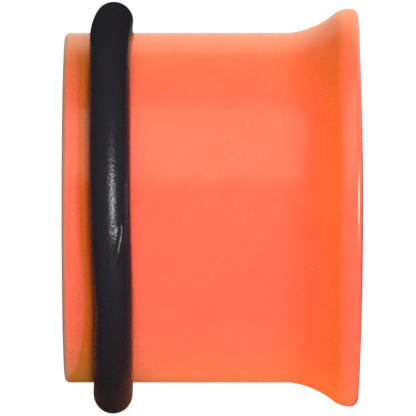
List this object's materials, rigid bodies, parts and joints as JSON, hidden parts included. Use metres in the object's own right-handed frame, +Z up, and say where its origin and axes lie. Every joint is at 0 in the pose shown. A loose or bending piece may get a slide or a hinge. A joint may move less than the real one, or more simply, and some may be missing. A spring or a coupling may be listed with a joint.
{
  "type": "ear plug gauge",
  "caption": "Solid single-flare ear plug: a straight round barrel with a flared, slightly domed front, a flat back and a rubber O-ring that holds it behind the ear lobe.",
  "frame": {"origin": "on the ground, under the middle of the plug as it lies on its side", "axes": "+X along the plug's own axis, from the flat back to the flared front, 8.25 mm above the ground; +Z up; Y across"},
  "size_m": [0.012, 0.0164, 0.0165],
  "materials": {
    "coral_plastic": "satin, slightly translucent coral orange acrylic",
    "black_rubber": "dull black rubber with a soft sheen"
  },
  "bodies": {
    "root": {"plug": "coral_plastic", "o_ring": "black_rubber"}
  },
  "joints": []
}
